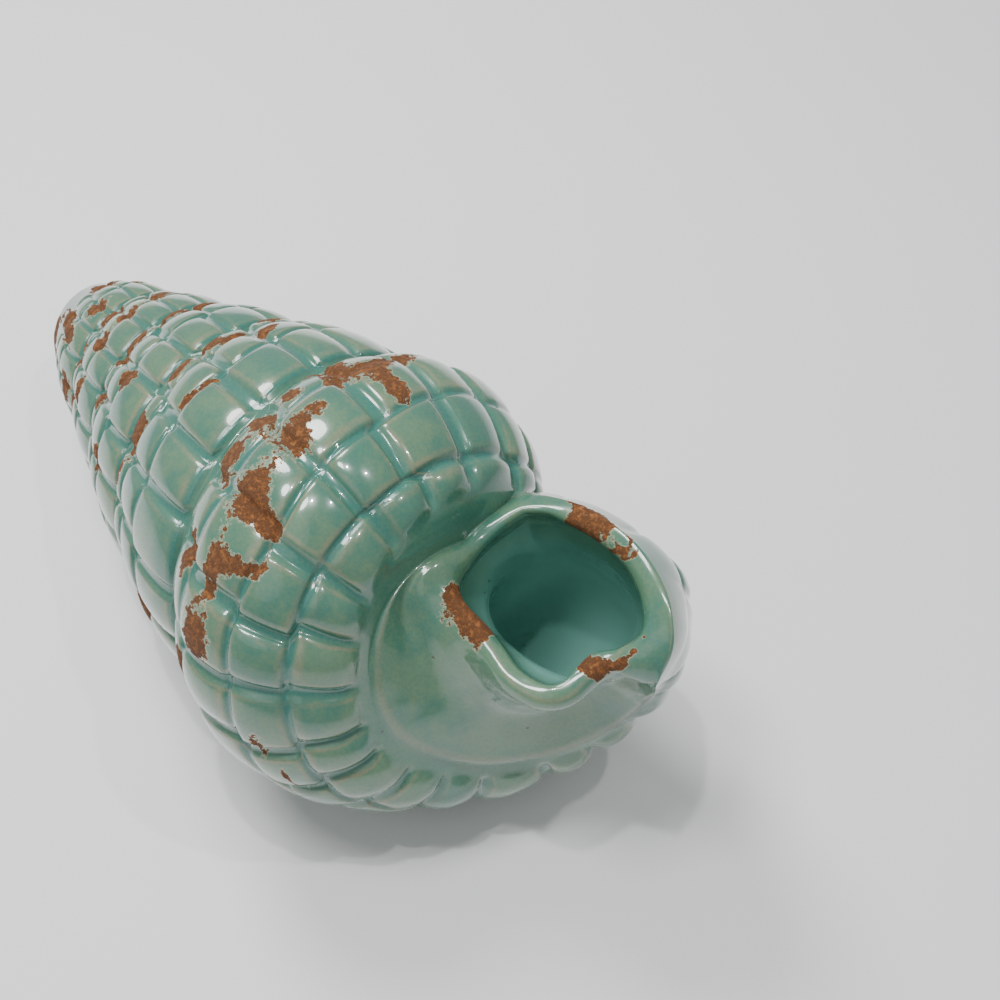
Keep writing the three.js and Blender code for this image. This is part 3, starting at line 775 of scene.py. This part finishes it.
def broken_glaze():
    """Clear-coated glaze: sage on the ribs, turquoise where it pools, tan where it is thin, and
    matt rust in the chips, ringed by a painted highlight; in the hollow a more turquoise glaze,
    made paler as painted light."""
    material = bpy.data.materials.new("broken_glaze")
    material.use_nodes = True
    tree = material.node_tree
    tree.nodes.clear()
    n = Nodes(tree)
    place = n.new("ShaderNodeTexCoord").outputs["Object"]
    pattern = n.new("ShaderNodeUVMap", uv_map="pattern").outputs["UV"]
    smooth = n.attribute("smooth")
    hollow_painted_light = n.attribute("hollow_painted_light")

    mottle = n.new("ShaderNodeGroup", node_tree=glaze_mottle())
    n.link(place, mottle.inputs["Vector"])
    lines = n.new("ShaderNodeGroup", node_tree=carved_lines())
    n.link(pattern, lines.inputs["Pattern"])
    n.link(place, lines.inputs["Vector"])
    n.link(smooth, lines.inputs["Smooth"])
    chips = n.new("ShaderNodeGroup", node_tree=chipped_glaze())
    n.link(place, chips.inputs["Vector"])
    n.link(n.attribute("wear"), chips.inputs["Wear"])

    body = n.mix(n.math("MULTIPLY", mottle.outputs["Drift"], 0.6), SAGE, PALE_SAGE)
    pool = n.math("MAXIMUM", n.math("MULTIPLY", n.attribute("pooled"), 0.6),
                  n.math("MULTIPLY", lines.outputs["Trough"], 0.75))
    pool = n.math("MAXIMUM", pool, n.math("MULTIPLY", lines.outputs["Groove"], 0.85))
    pool = n.math("MAXIMUM", pool, n.math("MULTIPLY", n.ramp(mottle.outputs["Drift"], 0.75, 0.1), 0.4))
    grain = n.math("ADD", n.math("MULTIPLY", mottle.outputs["Speckle"], 0.3), 0.75)
    pool = n.math("MULTIPLY", pool, grain)
    colour = n.mix(pool, body, TURQUOISE)
    broken = n.math("ADD", n.math("MULTIPLY", mottle.outputs["Drift"], 0.6), 0.12)
    thin = n.math("MULTIPLY", lines.outputs["Edge"], broken)
    colour = n.mix(thin, colour, THIN_TAN)
    colour = n.mix(n.math("MULTIPLY", lines.outputs["Rim"], 0.5), colour, THIN_TAN)
    fleck = n.math("MULTIPLY", mottle.outputs["Speckle"], 0.3)
    colour = n.mix(fleck, colour, TURQUOISE)
    # Painted light: the hollow's wall takes a paler teal, standing in for light falling in.
    colour = n.mix(hollow_painted_light, colour, HOLLOW_TEAL_AND_PAINTED_LIGHT)
    colour = n.mix(n.math("MULTIPLY", mottle.outputs["Pits"], 0.7), colour, DARK_RUST)
    # Painted highlight: a cream rim round each chip, where the broken glaze edge catches the light.
    colour = n.mix(n.math("MULTIPLY", chips.outputs["Rim"], 0.55), colour, CHIP_EDGE_PAINTED_HIGHLIGHT)
    rust = n.mix(n.math("MULTIPLY", chips.outputs["Flecks"], 0.75), RUST, DARK_RUST)
    colour = n.mix(chips.outputs["Chip"], colour, rust)

    height = n.math("MULTIPLY", lines.outputs["Groove"], -0.35)
    height = n.math("SUBTRACT", height, n.math("MULTIPLY", chips.outputs["Chip"], 0.5))
    gritty = n.math("MULTIPLY", chips.outputs["Chip"], chips.outputs["Flecks"])
    height = n.math("ADD", height, n.math("MULTIPLY", gritty, 0.25))
    height = n.math("ADD", height, n.math("MULTIPLY", n.noise(place, 70.0, 2.0), 0.25))
    height = n.math("SUBTRACT", height, n.math("MULTIPLY", mottle.outputs["Pits"], 0.3))
    bump = n.new("ShaderNodeBump")
    n.link(1.0, bump.inputs["Strength"])
    n.link(0.001, bump.inputs["Distance"])
    n.link(height, bump.inputs["Height"])

    shader = n.new("ShaderNodeBsdfPrincipled")
    n.link(colour, shader.inputs["Base Color"])
    roughness = n.math("ADD", n.math("MULTIPLY", chips.outputs["Chip"], 0.6), 0.22)
    n.link(roughness, shader.inputs["Roughness"])
    n.link(n.math("SUBTRACT", 1.0, chips.outputs["Chip"]), shader.inputs["Coat Weight"])
    n.link(bump.outputs["Normal"], shader.inputs["Normal"])
    shader.inputs["Coat Roughness"].default_value = 0.05
    shader.inputs["IOR"].default_value = 1.5
    output = n.new("ShaderNodeOutputMaterial")
    n.link(shader.outputs["BSDF"], output.inputs["Surface"])
    return material


def pale_floor():
    material = bpy.data.materials.new("pale_floor")
    material.use_nodes = True
    shader = material.node_tree.nodes["Principled BSDF"]
    n = Nodes(material.node_tree)
    place = n.new("ShaderNodeTexCoord").outputs["Object"]
    tone = n.mix(n.noise(place, 6.0, 3.0), (0.88, 0.88, 0.88, 1), (0.91, 0.91, 0.91, 1))
    n.link(tone, shader.inputs["Base Color"])
    shader.inputs["Roughness"].default_value = 0.6
    return material


# ---- floor, light and camera ----------------------------------------------------------------------
def floor():
    bpy.ops.mesh.primitive_plane_add(size=6, location=(0, 0, -0.0002))
    plane = bpy.context.object
    plane.name = "floor"
    plane.data.materials.append(pale_floor())


def lamp(name, at, aim, size, watts, colour=(1, 1, 1)):
    light = bpy.data.lights.new(name, "AREA")
    light.shape = "DISK"
    light.size = size
    light.energy = watts
    light.color = colour
    holder = bpy.data.objects.new(name, light)
    holder.location = at
    holder.rotation_euler = (Vector(aim) - Vector(at)).to_track_quat("-Z", "Y").to_euler()
    bpy.context.scene.collection.objects.link(holder)


def studio():
    lamp("key", (-0.52, 0.05, 0.88), (-0.03, 0, 0.04), 0.35, 6.8)
    lamp("front", (-0.12, -0.3, 1.2), (0.05, 0, 0.05), 0.3, 6)
    lamp("fill", (0.3, -0.8, 1.0), (0, 0, 0.05), 0.9, 1)
    lamp("spark_1", (0.05, -0.1, 1.15), (0.03, 0, 0.08), 0.035, 2.4)
    lamp("spark_2", (0.35, 0.25, 1.1), (0.03, 0, 0.08), 0.03, 1.8)
    world = bpy.data.worlds.new("room")
    bpy.context.scene.world = world
    world.use_nodes = True
    background = world.node_tree.nodes["Background"]
    background.inputs["Color"].default_value = (0.97, 0.98, 1.0, 1)
    background.inputs["Strength"].default_value = 0.38


def camera():
    lens = bpy.data.cameras.new("camera")
    lens.lens = LENS
    lens.sensor_width = 36
    lens.clip_start = 0.01
    holder = bpy.data.objects.new("camera", lens)
    turn = Vector(CAMERA_LOOK).to_track_quat("-Z", "Y").to_matrix().to_4x4()
    holder.matrix_world = Matrix.Translation(CAMERA_AT) @ turn @ Matrix.Rotation(-CAMERA_ROLL, 4, "Z")
    bpy.context.scene.collection.objects.link(holder)
    bpy.context.scene.camera = holder


# ---- the scene -----------------------------------------------------------------------------------------
camera()
shell = fired_shell()
shell.data.materials.append(broken_glaze())
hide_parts("shell")
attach(shell, "root")
floor()
studio()
